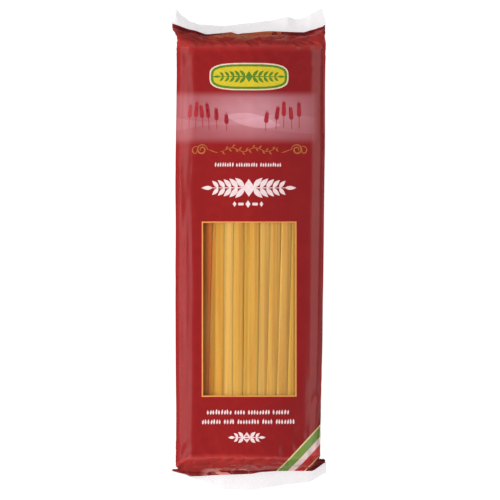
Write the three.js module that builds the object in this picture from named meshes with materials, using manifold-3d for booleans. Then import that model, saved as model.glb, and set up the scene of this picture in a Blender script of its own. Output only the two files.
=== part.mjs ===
// A sealed film pack of long, straight, dry ribbon pasta, lying on its back.
//
// Millimetres. +Z points up out of the front of the pack, +Y towards its top seal and
// +X across it, to the right of someone who looks at the front. The origin is the middle of
// the box round the pack, on the surface that it lies on.
//
// A film tube is wrapped round a bundle of pasta ribbons. At each end the front and back of the
// tube slope together, the side walls tuck in between them, and the four layers are sealed flat
// into a fin that stands out at half the pack's thickness. Real film is 0.05 mm thick: here
// it has a wall that a solid can carry.

import * as THREE from 'three';
import { mergeVertices } from 'three/addons/utils/BufferGeometryUtils.js';
import Module from 'manifold-3d';

// ---------------------------------------------------------------- driving dimensions

const THICKNESS = 34.8;                   // pack, front to back, before its front swells
const WALL = 0.8;                         // film wall
const GAP = 0.3;                          // between solids that would touch
const CORNER_RADIUS = 2.6;
const FRONT_CROWN = 3.4;                  // how far the middle of the front swells,
const RIGHT_FALL = 6;                     // how far it falls from there to the right edge,
const RIGHT_FALL_POWER = 1.6;             // and how late
const LEFT_BEVEL = { slope: 11.5, start: 0.78 };   // both long edges are bevelled: mm for each
const RIGHT_BEVEL = { slope: 7.5, start: 0.835 };  // half width, from this share of it on

const RIBBON_LENGTH = 244;                // the cut length of the pasta
const RIBBON_WIDTH = 6.8;
const RIBBON_THICKNESS = 1.1;

const BODY_MIDDLE_Y = -2.3;               // the full section's middle, along the pack
const BODY_LENGTH = RIBBON_LENGTH + 2 * (WALL + GAP);
const BODY_HALF_WIDTH = 44.3;             // at y = 0
const BODY_TAPER = 0.006;                 // the body widens towards the top seal ...
const BODY_BARREL = 0.00004;              // ... and is a little narrower at both ends
const BODY_LEAN = 0.0075;                 // sideways drift of the middle, per mm of y
const BODY_OFFSET = 0.6;

const SEAL_THICKNESS = 1;
const SEAL_DEPTH = 9.5;                   // clear fin, print edge to cut edge, laid flat
const ROOF_ROUNDING = 1.5;                // superellipse power of the sloping ends: 1 is flat
const TUCK_SHARE = 0.85;                  // how far the side walls tuck in, of what they could
const TUCK_CLOSES = 5;                    // half thickness below which a tuck is pressed shut

const WINDOW = { width: 55, length: 103, x: 0.4, y: -35.9, cut: 14 };

// The ends' lines across the pack, as [x, y] from left to right. The corners of each fin
// stand out as ears, because the tucked side walls are longer than the way between them.
const TOP_ROOF_END = [[-46.5, 133], [-34, 129.6], [-25, 128], [0, 128.4], [34, 128.4], [46.5, 132.4]];
const TOP_PRINT_EDGE = [[-46.6, 135.4], [-34, 131.5], [-25, 129.4], [-8, 130], [12, 130.8],
  [34, 130.2], [46.6, 134.9]];
const TOP_CUT_EDGE = [[-44, 144], [-39.5, 140], [-34, 136.3], [-29, 134.8], [-15, 134], [0, 135.6],
  [12, 137], [23, 139.4], [33, 138.7], [38.5, 141.5], [44.6, 144.6]];
const BOTTOM_ROOF_END = [[-46, -130.5], [-35, -133], [0, -133], [20, -132], [38, -131.6], [46, -127]];
const BOTTOM_PRINT_EDGE = [[-47, -132.6], [-38, -135], [-32, -136.3], [-19, -135.6], [1, -135],
  [12, -133.7], [38, -133.2], [47, -128.5]];
const BOTTOM_CUT_EDGE = [[-45, -135.4], [-35, -137.4], [-29, -139], [-20, -142], [-14, -144.2],
  [1, -144.6], [12, -143.1], [25, -141], [36, -140], [47, -134.4]];

// ---------------------------------------------------------------- solids and meshes

const wasm = await Module();
wasm.setup();

/** A closed three.js geometry as a solid that can be cut and joined. */
function toSolid(geometry) {
  const bare = geometry.clone();
  bare.deleteAttribute('normal');
  bare.deleteAttribute('uv');
  const merged = mergeVertices(bare);
  return new wasm.Manifold(new wasm.Mesh({
    numProp: 3,
    vertProperties: new Float32Array(merged.attributes.position.array),
    triVerts: new Uint32Array(merged.index.array),
  }));
}

/** A solid as a three.js geometry with flat-shaded faces. */
function toGeometry(solid) {
  const { vertProperties, triVerts } = solid.getMesh();
  const geometry = new THREE.BufferGeometry();
  geometry.setAttribute('position', new THREE.BufferAttribute(new Float32Array(vertProperties), 3));
  geometry.setIndex(new THREE.BufferAttribute(new Uint32Array(triVerts), 1));
  const flat = geometry.toNonIndexed();
  flat.computeVertexNormals();
  return flat;
}

/** A box of -1..1 each way with its surface grid moved to place(across, along, depth). */
function shapedBox(acrossSteps, alongSteps, depthSteps, place) {
  const geometry = new THREE.BoxGeometry(2, 2, 2, acrossSteps, alongSteps, depthSteps);
  const position = geometry.attributes.position;
  for (let i = 0; i < position.count; i += 1) {
    const spot = place(position.getX(i), position.getY(i), position.getZ(i));
    position.setXYZ(i, spot.x, spot.y, spot.z);
  }
  return geometry;
}

const mix = THREE.MathUtils.lerp;

/** The y of a line given as [x, y] points, at any x. */
function lineAt(points, x) {
  const last = points.length - 1;
  const next = points.findIndex(([px]) => px >= x);
  if (next === 0) {
    return points[0][1];
  }
  if (next < 0) {
    return points[last][1];
  }
  const [x0, y0] = points[next - 1];
  const [x1, y1] = points[next];
  return mix(y0, y1, THREE.MathUtils.smoothstep(x, x0, x1) * 0.5 + (x - x0) / (x1 - x0) * 0.5);
}

// ---------------------------------------------------------------- the film tube

const MIDDLE_Z = THICKNESS / 2;
const BODY_BOTTOM_Y = BODY_MIDDLE_Y - BODY_LENGTH / 2;
const BODY_TOP_Y = BODY_MIDDLE_Y + BODY_LENGTH / 2;
const bodyHalfWidth = (y) => BODY_HALF_WIDTH + BODY_TAPER * y - BODY_BARREL * y * y;
const bodyMiddleX = (y) => BODY_OFFSET + BODY_LEAN * y;
const bevel = ({ slope, start }, share) => slope * Math.max(share - start, 0);
const frontCrown = (across) => FRONT_CROWN - (across < 0
  ? bevel(LEFT_BEVEL, -across)
  : RIGHT_FALL * across ** RIGHT_FALL_POWER + bevel(RIGHT_BEVEL, across));

/** A point of a rounded rectangle, from its place on or in the plain one (both halves given). */
function roundCorner(x, z, halfWidth, halfDepth, radius) {
  const innerX = THREE.MathUtils.clamp(x, radius - halfWidth, halfWidth - radius);
  const innerZ = THREE.MathUtils.clamp(z, radius - halfDepth, halfDepth - radius);
  const out = new THREE.Vector2(x - innerX, z - innerZ);
  out.clampLength(0, radius);
  return new THREE.Vector2(innerX + out.x, innerZ + out.y);
}

/** A point of the tube's full section at y, pulled in by inset from the outer face. */
function bodyPoint(across, y, depth, inset) {
  const halfWidth = bodyHalfWidth(y) - inset;
  const halfDepth = MIDDLE_Z - inset;
  const section = roundCorner(across * halfWidth, depth * halfDepth, halfWidth, halfDepth,
    CORNER_RADIUS - inset);
  const crown = frontCrown(across) * (depth + 1) / 2;
  return new THREE.Vector3(bodyMiddleX(y) + section.x, y, MIDDLE_Z + section.y + crown);
}

/** A point of a sloping end. down runs from 0, at the full section, to 1, at the fin. */
function roofPoint(across, down, depth, end) {
  const angle = down * Math.PI / 2;
  const outwards = Math.sin(angle) ** (2 / ROOF_ROUNDING);
  const open = Math.max(Math.cos(angle), 0) ** (2 / ROOF_ROUNDING);
  const halfDepth = mix(SEAL_THICKNESS / 2, MIDDLE_Z, open);
  const flareStart = across < 0 ? end.flare.left : end.flare.right;
  const flare = 1 - THREE.MathUtils.smoothstep(open, 0, flareStart);
  const halfWidth = mix(bodyHalfWidth(end.bodyY), end.finHalfWidth, flare);
  const radius = Math.min(CORNER_RADIUS * open ** 2 + SEAL_THICKNESS / 4, halfDepth * 0.9);
  const section = roundCorner(across * halfWidth, depth * halfDepth, halfWidth, halfDepth, radius);
  const tuck = TUCK_SHARE * Math.sqrt(MIDDLE_Z ** 2 - halfDepth ** 2)
    * Math.min(1, (halfDepth - SEAL_THICKNESS / 2) / TUCK_CLOSES);
  const x = mix(bodyMiddleX(end.bodyY), end.finMiddleX, flare) + section.x
    - across * tuck * (1 - Math.abs(depth));
  const crown = open * frontCrown(across) * (depth + 1) / 2;
  return new THREE.Vector3(x, mix(end.bodyY, lineAt(end.roofEnd, x), outwards),
    MIDDLE_Z + section.y + crown);
}

/** A point of a fin between two of its lines. out runs from 0 to 1, depth through its layers.
    narrowed is how much less its half width is at the outer line. */
function finPoint(across, out, depth, end, from, to, leanFrom, leanTo, narrowed = 0) {
  const x = end.finMiddleX + across * (end.finHalfWidth - narrowed * out);
  const y = mix(lineAt(from, x), lineAt(to, x), out);
  const lean = mix(leanFrom(x), leanTo(x), out);
  return new THREE.Vector3(x, y, MIDDLE_Z - lean + depth * SEAL_THICKNESS / 2);
}

/** How far a fin's cut edge leans towards the back: its depth is fixed, what shows is less. */
function finLean(end) {
  return (x) => {
    const shown = Math.abs(lineAt(end.cutEdge, x) - lineAt(end.printEdge, x));
    return Math.sqrt(Math.max(SEAL_DEPTH ** 2 - shown ** 2, 0)) * end.leanShare;
  };
}

const noLean = () => 0;
const TOP = {
  bodyY: BODY_TOP_Y, roofEnd: TOP_ROOF_END, printEdge: TOP_PRINT_EDGE, cutEdge: TOP_CUT_EDGE,
  finMiddleX: 0, finHalfWidth: 46.4, finNarrows: 2.2, leanShare: 0.8, sign: 1,
  flare: { left: 0.9, right: 0.9 },       // how open the section is where it begins to widen
};
const BOTTOM = {
  bodyY: BODY_BOTTOM_Y, roofEnd: BOTTOM_ROOF_END, printEdge: BOTTOM_PRINT_EDGE,
  cutEdge: BOTTOM_CUT_EDGE, finMiddleX: 0, finHalfWidth: 46.4, finNarrows: 0, leanShare: 0.5,
  sign: -1, flare: { left: 0.1, right: 0.8 },
};

/** The printed tube's outer form, with its sloping ends and the printed foot of each fin. */
function tubeSolid() {
  const FIN_STEPS = 1;
  const ROOF_STEPS = 7;
  const BODY_STEPS = 12;
  const ALONG = 2 * (FIN_STEPS + ROOF_STEPS) + BODY_STEPS;
  const place = (across, along, depth) => {
    const row = Math.round((along + 1) / 2 * ALONG);
    const fromEnd = Math.min(row, ALONG - row);
    const end = row > ALONG / 2 ? TOP : BOTTOM;
    if (fromEnd < FIN_STEPS) {
      return finPoint(across, 1 - fromEnd / FIN_STEPS, depth, end, end.roofEnd, end.printEdge,
        noLean, noLean);
    }
    if (fromEnd < FIN_STEPS + ROOF_STEPS) {
      return roofPoint(across, 1 - (fromEnd - FIN_STEPS) / ROOF_STEPS, depth, end);
    }
    const share = (row - FIN_STEPS - ROOF_STEPS) / BODY_STEPS;
    return bodyPoint(across, mix(BODY_BOTTOM_Y, BODY_TOP_Y, share), depth, 0);
  };
  return toSolid(shapedBox(22, ALONG, 6, place));
}

/** The space inside the tube's full section. */
function cavitySolid() {
  const low = BODY_BOTTOM_Y + WALL;
  const high = BODY_TOP_Y - WALL;
  const place = (across, along, depth) => (
    bodyPoint(across, mix(low, high, (along + 1) / 2), depth, WALL));
  return toSolid(shapedBox(18, 8, 4, place));
}

/** A prism through the front of the pack, as large as the window plus a margin all round. */
function windowPrism(margin) {
  const prism = new THREE.BoxGeometry(WINDOW.width + 2 * margin, WINDOW.length + 2 * margin, WINDOW.cut);
  prism.translate(WINDOW.x, WINDOW.y, THICKNESS);
  return toSolid(prism);
}

/** The clear fin beyond the print, as a thin solid that starts just clear of it. */
function clearSeal(end) {
  const start = end.printEdge.map(([x, y]) => [x, y + end.sign * GAP]);
  const lean = finLean(end);
  const place = (across, along, depth) => {
    const out = end.sign > 0 ? (along + 1) / 2 : (1 - along) / 2;
    return finPoint(across, out, depth, end, start, end.cutEdge, noLean, lean, end.finNarrows);
  };
  return toGeometry(toSolid(shapedBox(30, 3, 1, place)));
}

// ---------------------------------------------------------------- the pasta

const BUNDLE_INSET = WALL + GAP;
const RIBBON_COUNT = 14;                  // on top, where every second one lies lower
const RIBBON_PITCH = 5.1;                 // less than a width, as the lower ones are overlapped
const RIBBON_BEVEL = 0.6;                 // how far a ribbon's edge is rounded
const RIBBON_ROLL = 0.09;                 // radians, at most
const RIBBON_SWAY = 0.5;                  // sideways, along its length
const RIBBON_END_SPREAD = 1.6;            // how unevenly the ends lie
const RIBBON_CLEARANCE = 0.25;            // more than the gap, for the film's facets
const GROOVE_DEPTH = 1.6 * RIBBON_THICKNESS;
const OUTER_COLUMN = 8 / 9;               // of the half width, where the corner begins to bend

/** A small repeatable random source, 0 to 1. */
function seededRandom(seed) {
  let state = seed;
  return () => {
    state = (state * 1664525 + 1013904223) % 4294967296;
    return state / 4294967296;
  };
}

/** The grooves between the ribbons: each one's place, and how it sways along the bundle. */
function ribbonEdges(random) {
  return Array.from({ length: RIBBON_COUNT + 1 }, (_, i) => {
    const overlapped = i % 2 === 0 ? 0 : RIBBON_WIDTH - RIBBON_PITCH;
    const x = (i - RIBBON_COUNT / 2) * RIBBON_PITCH + overlapped;
    const sway = (random() * 2 - 1) * RIBBON_SWAY;
    const phase = random() * Math.PI * 2;
    return (along) => x + sway * Math.sin(along * Math.PI + phase);
  });
}

/** The bundle's lengthwise lines from left to right. For each: its place across at any place
    along, how far it lies under the film, and how much shorter than the longest ribbon it is. */
function bundleLines() {
  const random = seededRandom(7);
  const edges = ribbonEdges(random);
  const groove = (at) => ({ at, drop: GROOVE_DEPTH, short: RIBBON_END_SPREAD });
  const side = (share, drop) => ({ share, drop, short: RIBBON_END_SPREAD });
  const lines = [side(-1, 0), side(-OUTER_COLUMN, GROOVE_DEPTH)];
  for (let i = 0; i < RIBBON_COUNT; i += 1) {
    const tip = RIBBON_ROLL * RIBBON_WIDTH / 2;
    const roll = random();
    const drop = RIBBON_CLEARANCE + (i % 2) * RIBBON_THICKNESS;
    const short = random() * RIBBON_END_SPREAD;
    lines.push(groove(edges[i]));
    lines.push({ at: (along) => edges[i](along) + RIBBON_BEVEL, drop: drop + tip * roll, short });
    lines.push({
      at: (along) => edges[i + 1](along) - RIBBON_BEVEL, drop: drop + tip * (1 - roll), short,
    });
  }
  lines.push(groove(edges[RIBBON_COUNT]), side(OUTER_COLUMN, GROOVE_DEPTH), side(1, 0));
  return lines;
}

/** The bundle: a core that fills the tube, with the ribbons that lie on top of it. */
function pastaBundle() {
  const lines = bundleLines();
  const place = (across, along, depth) => {
    const line = lines[Math.round((across + 1) / 2 * (lines.length - 1))];
    const onTop = depth > 0.99;
    const short = onTop ? line.short : RIBBON_END_SPREAD;
    const y = BODY_MIDDLE_Y + along * (RIBBON_LENGTH / 2 - short);
    const share = line.share ?? line.at(along) / (bodyHalfWidth(y) - BUNDLE_INSET);
    const spot = bodyPoint(share, y, depth, BUNDLE_INSET);
    const underneath = depth < -0.99;
    spot.z += (underneath ? RIBBON_CLEARANCE : 0) - (onTop ? line.drop : 0);
    return spot;
  };
  return toGeometry(toSolid(shapedBox(lines.length - 1, 8, 4, place)));
}

// ---------------------------------------------------------------- the pack

function named(name, geometry, colour, roughness, opacity = 1) {
  const material = new THREE.MeshStandardMaterial({
    color: colour, roughness, metalness: 0, opacity, transparent: opacity < 1,
  });
  const mesh = new THREE.Mesh(geometry, material);
  mesh.name = name;
  return mesh;
}

const outer = tubeSolid();
const shell = outer.subtract(cavitySolid());

const pack = new THREE.Group();
pack.add(named('printed_film', toGeometry(shell.subtract(windowPrism(0))), '#95282a', 0.4));
pack.add(named('window_film', toGeometry(shell.intersect(windowPrism(-GAP))), '#f4efe6', 0.12, 0.2));
pack.add(named('top_seal', clearSeal(TOP), '#efeaec', 0.25, 0.35));
pack.add(named('bottom_seal', clearSeal(BOTTOM), '#f3eef0', 0.25, 0.35));
pack.add(named('pasta_bundle', pastaBundle(), '#d8a34d', 0.55));

// The origin is the bottom middle of the box round the whole pack.
const box = new THREE.Box3().setFromObject(pack);
const middle = box.getCenter(new THREE.Vector3());
pack.position.set(-middle.x, -middle.y, -box.min.z);

export default pack;
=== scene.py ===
# %% [markdown]
# # A film pack of long ribbon pasta
#
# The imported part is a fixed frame: a film tube with a window, its two clear fin seals and the
# bundle of pasta inside. The pack lies on its back, with X across it, Y along it towards the
# top seal and Z up out of the front. This script gives every piece its looks without moving
# any of them. All sizes below are millimetres until a mesh is made.

import math

import bpy
import numpy as np
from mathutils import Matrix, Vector


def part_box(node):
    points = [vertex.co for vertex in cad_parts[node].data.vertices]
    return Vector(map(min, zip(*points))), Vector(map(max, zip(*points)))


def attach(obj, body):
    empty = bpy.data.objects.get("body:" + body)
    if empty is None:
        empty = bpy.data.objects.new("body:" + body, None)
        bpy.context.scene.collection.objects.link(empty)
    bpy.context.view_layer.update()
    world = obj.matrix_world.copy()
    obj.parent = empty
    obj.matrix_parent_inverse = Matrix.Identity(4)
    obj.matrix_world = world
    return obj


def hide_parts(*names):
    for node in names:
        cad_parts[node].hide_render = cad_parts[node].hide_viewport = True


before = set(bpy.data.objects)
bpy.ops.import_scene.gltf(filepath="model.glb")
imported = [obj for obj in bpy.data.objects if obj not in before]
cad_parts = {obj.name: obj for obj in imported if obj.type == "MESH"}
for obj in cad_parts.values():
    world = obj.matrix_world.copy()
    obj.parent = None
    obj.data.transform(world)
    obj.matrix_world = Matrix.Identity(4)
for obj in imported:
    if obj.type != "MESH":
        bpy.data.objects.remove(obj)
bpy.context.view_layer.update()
MM = 0.001
scene = bpy.context.scene
print("solids in the frame:", sorted(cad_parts))

# %% [markdown]
# ## Driving sizes
#
# The tube is a rounded box whose ends slope together into flat fins. These are the few sizes
# that its form follows from. The part's origin is the middle of its box, so the places below,
# which are measured from the tube's own middle, are shifted to where the frame has the window.

# %% Sizes of the tube
THICKNESS = 34.8                 # front to back, at the shoulders
MIDDLE_Z = THICKNESS / 2
CORNER_RADIUS = 2.6
FRONT_CROWN = 3.4                # how far the middle of the front stands above the sides
RIGHT_FALL = 6.0                 # how far it falls from there to the right edge
# How steeply both long edges are bevelled, in mm for each half width, the share of it that the
# bevel starts at, and how soft the bend is there.
LEFT_BEVEL, LEFT_BEVEL_START, LEFT_BEVEL_SOFT = 11.5, 0.78, 0.04
RIGHT_BEVEL, RIGHT_BEVEL_START, RIGHT_BEVEL_SOFT = 7.5, 0.835, 0.01
BACK_RISE = 0.3                  # the back film lies on its lap seam, not on the surface
HALF_WIDTH = 44.3
SIDE_TAPER = 0.006               # both edges run apart towards the top ...
SIDE_BARREL = 0.00004            # ... and draw in a little at both ends ...
SIDE_LEAN = 0.0075               # ... and lean to the right
TUBE_X = 0.6                     # middle of the tube
FILM_WALL = 0.12

WINDOW_X, WINDOW_Y = 0.4, -35.9  # middle of the window
WINDOW_WIDTH, WINDOW_LENGTH = 55.0, 103.0

window_low, window_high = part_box("window_film")
SHIFT = np.array([
    (window_low.x + window_high.x) / 2 / MM - WINDOW_X,
    (window_low.y + window_high.y) / 2 / MM - WINDOW_Y,
    0.0,
])
print("shift from the tube's own middle to the frame's origin:", SHIFT.round(2), "mm")

# %% [markdown]
# ## Tools for making meshes
#
# Film is a regular grid of points, bent. A grid is quick to work out with numpy, and its rows
# and columns give a UV map in real millimetres for free: how far round the tube and how far
# along it. The print is laid out in that map, so it follows the film over every edge.

# %% Noise
def blend(low, high, share):
    """From low, at share 0, to high, at share 1."""
    return low + (high - low) * share


def eased(share):
    """A share that starts and stops softly."""
    return share * share * (3.0 - 2.0 * share)


def smoothstep(low, high, value):
    """0 below low and 1 above high, smoothly, also when high is the smaller one."""
    return eased(np.clip((value - low) / (high - low), 0.0, 1.0))


NOISE_SIZE = 97                  # lumps each way, after which the pattern starts again


def noise(x, y, seed):
    """Smooth gradient noise of about -1 to 1, whose lumps are about one unit across."""
    turns = np.random.default_rng(seed).uniform(0.0, 2.0 * math.pi, (NOISE_SIZE, NOISE_SIZE))
    x, y = np.broadcast_arrays(x, y)
    column, row = np.floor(x).astype(int), np.floor(y).astype(int)
    fx, fy = x - column, y - row

    def corner(i, j):
        turn = turns[(column + i) % NOISE_SIZE, (row + j) % NOISE_SIZE]
        return np.cos(turn) * (fx - i) + np.sin(turn) * (fy - j)

    low, high = (blend(corner(0, j), corner(1, j), eased(fx)) for j in (0, 1))
    return 1.5 * blend(low, high, eased(fy))


# %% Grids and finished pieces
def points_at(*axes):
    """Points from their places on each axis, any of which may be one number for all."""
    return np.stack(np.broadcast_arrays(*axes), axis=-1)


def grid_faces(rows, columns, keep=None, round_tube=False):
    """The faces of a grid as corner numbers, with the row and column that each one starts at."""
    spans = columns if round_tube else columns - 1
    row, column = np.meshgrid(np.arange(rows - 1), np.arange(spans), indexing="ij")
    if keep is not None:
        row, column = row[keep], column[keep]
    row, column = row.ravel(), column.ravel()
    after = (column + 1) % columns
    corners = np.stack([row * columns + column, row * columns + after,
                        (row + 1) * columns + after, (row + 1) * columns + column], axis=1)
    return corners, row, column


def new_piece(name, points, faces):
    """A mesh object from points in mm and faces, smooth shaded."""
    mesh = bpy.data.meshes.new(name)
    mesh.from_pydata(((points + SHIFT) * MM).tolist(), [], faces.tolist())
    mesh.shade_smooth()
    piece = bpy.data.objects.new(name, mesh)
    scene.collection.objects.link(piece)
    return piece


def grid_piece(name, points, map_x, map_y, keep=None, round_tube=False):
    """A mesh object from a grid of points in mm, with a UV map of the places given, in metres.

    keep says which of the grid's faces are made. A round tube also joins its last column to
    its first."""
    rows, columns = points.shape[:2]
    corners, row, column = grid_faces(rows, columns, keep, round_tube)
    used, corners = np.unique(corners, return_inverse=True)
    piece = new_piece(name, points.reshape(-1, 3)[used], corners.reshape(-1, 4))
    across = np.append(map_x, 2.0 * map_x[-1] - map_x[-2])
    corner_columns = np.stack([column, column + 1, column + 1, column], axis=1)
    corner_rows = np.stack([row, row, row + 1, row + 1], axis=1)
    uv = points_at(across[corner_columns], map_y[corner_rows]) * MM
    piece.data.uv_layers.new(name="film").data.foreach_set("uv", uv.ravel())
    return piece


def finished(piece):
    """The same piece with its modifiers applied to a plain mesh."""
    evaluated = piece.evaluated_get(bpy.context.evaluated_depsgraph_get())
    mesh = bpy.data.meshes.new_from_object(evaluated)
    piece.modifiers.clear()
    piece.data = mesh
    mesh.name = piece.name
    print(f"{piece.name}: {sum(len(p.vertices) - 2 for p in mesh.polygons)} triangles")
    return piece


CRISP_EDGE = math.radians(60)    # a sheet's edges stay sharp where they turn by more than this


def thickened(piece, wall, offset=-1.0):
    """Gives a sheet its wall, inwards unless offset says otherwise, with crisp edges."""
    solidify = piece.modifiers.new("wall", "SOLIDIFY")
    solidify.thickness = wall * MM
    solidify.offset = offset
    finished(piece)
    piece.data.set_sharp_from_angle(angle=CRISP_EDGE)
    return piece

# %% [markdown]
# ## Tools for node trees
#
# Shader trees and Geometry Nodes trees are built the same way: make a node, set it up, and
# link or fill in its inputs. Both are full of Math nodes, and a chain of those is hard to read.
# So what comes out of a node is wrapped in a small class that makes the Math nodes for the
# ordinary signs: half = 0.5 * length is one Multiply node.

# %% Nodes
def sign_for(operation, swapped=False):
    """The method behind a sign, which makes a Math node of its two sides."""
    def method(flow, other):
        return calc(operation, *((other, flow) if swapped else (flow, other)))
    return method


class Flow:
    """What comes out of a node. + - * / and abs() on it make Math nodes."""

    def __init__(self, socket):
        self.socket, self.tree = socket, socket.id_data

    __add__ = __radd__ = sign_for("ADD")
    __mul__ = __rmul__ = sign_for("MULTIPLY")
    __sub__, __rsub__ = sign_for("SUBTRACT"), sign_for("SUBTRACT", swapped=True)
    __truediv__ = sign_for("DIVIDE")

    def __abs__(self):
        return calc("ABSOLUTE", self)


def filled(node, **inputs):
    """A node with inputs linked or filled in.

    An input is named by its socket, with _ for a space, or by its number, as _0."""
    for key, value in inputs.items():
        if key[0] == "_":
            socket = node.inputs[int(key[1:])]
        else:
            socket = next(s for s in node.inputs if s.name == key.replace("_", " ") and s.enabled)
        if isinstance(value, Flow):
            node.id_data.links.new(value.socket, socket)
        else:
            socket.default_value = value
    return node


def wired(tree, kind, settings=None, output=None, **inputs):
    """What comes out of a new node at the named output, or at the first one that is in use."""
    node = tree.nodes.new(kind)
    for key, value in (settings or {}).items():
        setattr(node, key, value)
    filled(node, **inputs)
    return Flow(node.outputs[output] if output else next(s for s in node.outputs if s.enabled))


def calc(operation, *values):
    """One Math node of flows and numbers."""
    tree = next(value.tree for value in values if isinstance(value, Flow))
    return wired(tree, "ShaderNodeMath", {"operation": operation},
                 **{f"_{i}": value for i, value in enumerate(values)})


def squared(flow):
    """A flow times itself."""
    return flow * flow


def split_vector(vector):
    """The X, Y and Z of a vector."""
    first = wired(vector.tree, "ShaderNodeSeparateXYZ", Vector=vector)
    return [Flow(socket) for socket in first.socket.node.outputs]


def vector_of(tree, **parts):
    """A vector from those of its parts X, Y and Z that aren't 0."""
    return wired(tree, "ShaderNodeCombineXYZ", **parts)

# %% [markdown]
# ## The film tube's form
#
# A flow pack is one sheet, wrapped round the pasta and joined down the back. Between the two
# folds that the ends of the bundle push out, its section is a rounded box with a swollen front.
# Beyond them the front and the back slope together, the side walls tuck in between, and all
# four layers meet in a fin at half the thickness. So each column of the grid keeps one place on
# the section, and each row is a section that is more or less closed.

# %% Columns round the tube
FLAT_ACROSS = HALF_WIDTH - CORNER_RADIUS
FLAT_DEEP = MIDDLE_Z - CORNER_RADIUS
CORNER_WAY = CORNER_RADIUS * math.pi / 2
HALF_WAY_ROUND = 2 * FLAT_ACROSS + 2 * FLAT_DEEP + 2 * CORNER_WAY


def plain_section(around):
    """Places on the square-cornered section, -1 to 1 across and deep, from mm round the tube.

    0 is the middle of the front, and the way round is negative on the left."""
    way = np.abs(around)
    stops = np.cumsum([FLAT_ACROSS, CORNER_WAY, 2 * FLAT_DEEP, CORNER_WAY])
    front_turn = (way - stops[0]) / CORNER_RADIUS
    back_turn = (stops[3] - way) / CORNER_RADIUS
    turn = np.clip(np.where(way < stops[2], front_turn, back_turn), 0.0, math.pi / 2)
    reach = CORNER_RADIUS * np.tan(np.minimum(turn, math.pi / 2 - turn))
    upright = turn > math.pi / 4
    corner_x = np.where(upright, HALF_WIDTH, FLAT_ACROSS + reach)
    corner_z = np.where(upright, FLAT_DEEP + reach, MIDDLE_Z)
    stretch = [way < stop for stop in stops]
    x = np.select(stretch, [way, corner_x, HALF_WIDTH, corner_x], stops[3] + FLAT_ACROSS - way)
    z = np.select(stretch, [MIDDLE_Z, corner_z, FLAT_DEEP - (way - stops[1]), -corner_z], -MIDDLE_Z)
    return np.sign(around) * x / HALF_WIDTH, z / MIDDLE_Z


def rounded(x, z, half_width, half_depth, radius):
    """The rounded section's point for each point of the square-cornered one."""
    inner_x = np.clip(x, radius - half_width, half_width - radius)
    inner_z = np.clip(z, radius - half_depth, half_depth - radius)
    out = np.hypot(x - inner_x, z - inner_z)
    scale = np.where(out > 1e-9, radius / np.maximum(out, 1e-9), 0.0)
    return inner_x + (x - inner_x) * scale, inner_z + (z - inner_z) * scale


def even_steps(low, high, step, through=()):
    """Steps of about the given size from low to high, that go exactly through some places."""
    stops = [low, *sorted(through), high]
    runs = [np.linspace(a, b, max(round((b - a) / step), 1), endpoint=False)
            for a, b in zip(stops, stops[1:])]
    return np.append(np.concatenate(runs), high)


WINDOW_EDGES_X = [WINDOW_X - TUBE_X + side * WINDOW_WIDTH / 2 for side in (-1, 1)]
WINDOW_EDGES_Y = [WINDOW_Y + side * WINDOW_LENGTH / 2 for side in (-1, 1)]
COLUMN_STEP = 1.2
tube_columns = even_steps(-HALF_WAY_ROUND, HALF_WAY_ROUND, COLUMN_STEP, WINDOW_EDGES_X)[:-1]
print(f"{len(tube_columns)} columns round {2 * HALF_WAY_ROUND:.0f} mm of film")

# %% Lines across the ends
def line(*points):
    """A gently rounded line through [x, y] points, as a function that gives y at any x."""
    xs, ys = np.array(points, float).T

    def at(x):
        place = np.clip(np.searchsorted(xs, x) - 1, 0, len(xs) - 2)
        share = np.clip((x - xs[place]) / (xs[place + 1] - xs[place]), 0.0, 1.0)
        return blend(ys[place], ys[place + 1], (share + eased(share)) / 2)

    return at


SEAL_DEPTH = 9.5                 # clear fin, laid flat
TOP = {
    "sign": 1, "fold": 120.6, "corner_droop": (0.8, 0.8), "flare": (0.9, 0.9),
    "lean_share": 0.8, "fin_narrows": 2.2,
    "roof_end": line((-46.5, 133), (-34, 129.6), (-25, 128), (0, 128.4), (34, 128.4),
                     (46.5, 132.4)),
    "print_edge": line((-46.6, 135.4), (-34, 131.5), (-25, 128.8), (-17.7, 129.4),
                       (-10.5, 130.2), (-6.5, 128.9), (-3, 129.5), (12, 130.7), (33, 130),
                       (38.5, 131.6), (44, 133.2), (46.6, 134.9)),
    "cut_edge": line((-46, 143), (-43.6, 143.9), (-39.7, 140), (-34.5, 136.4), (-29.3, 134.8),
                     (-15, 133.9), (0.3, 135.6), (11.7, 137), (23.4, 139.4), (28.2, 137.9),
                     (33.1, 138.7), (38.5, 141.5), (44.4, 144.5)),
}
BOTTOM = {
    "sign": -1, "fold": -124.0, "corner_droop": (4.6, -0.8), "flare": (0.1, 0.8),
    "lean_share": 0.5, "fin_narrows": 0.0,
    "roof_end": line((-46.6, -132.0), (-35, -133.5), (0, -132.8), (20, -131.6), (38, -131.4),
                     (46, -126.4)),
    "print_edge": line((-47, -132.9), (-38, -135), (-34.9, -136.3), (-29, -136.3),
                       (-18.7, -135.6), (1, -135), (8, -133.8), (18.5, -133.2), (38, -133.2),
                       (46.8, -127.8)),
    "cut_edge": line((-47, -133.2), (-38, -135.6), (-35, -136.9), (-29, -138.6), (-20, -141.8),
                     (-15.3, -144.2), (1, -144.5), (11.7, -143.1), (25.5, -141),
                     (35.7, -140), (47, -134.4)),
}

# %% Rows of the tube
FIN_HALF_WIDTH = 46.6
FIN_HALF_THICKNESS = 0.35
ROOF_POWER = 2 / 1.5             # superellipse of the sloping ends
TUCK_SHARE = 0.85
EDGE_ZONE = 0.68                 # share of the half width that stays straight
DROOP_POWER = 7                  # how close to the corners the fold droops
RIGHT_FALL_POWER = 1.6
BEVEL_WANDER = 0.045             # of the half width


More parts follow.
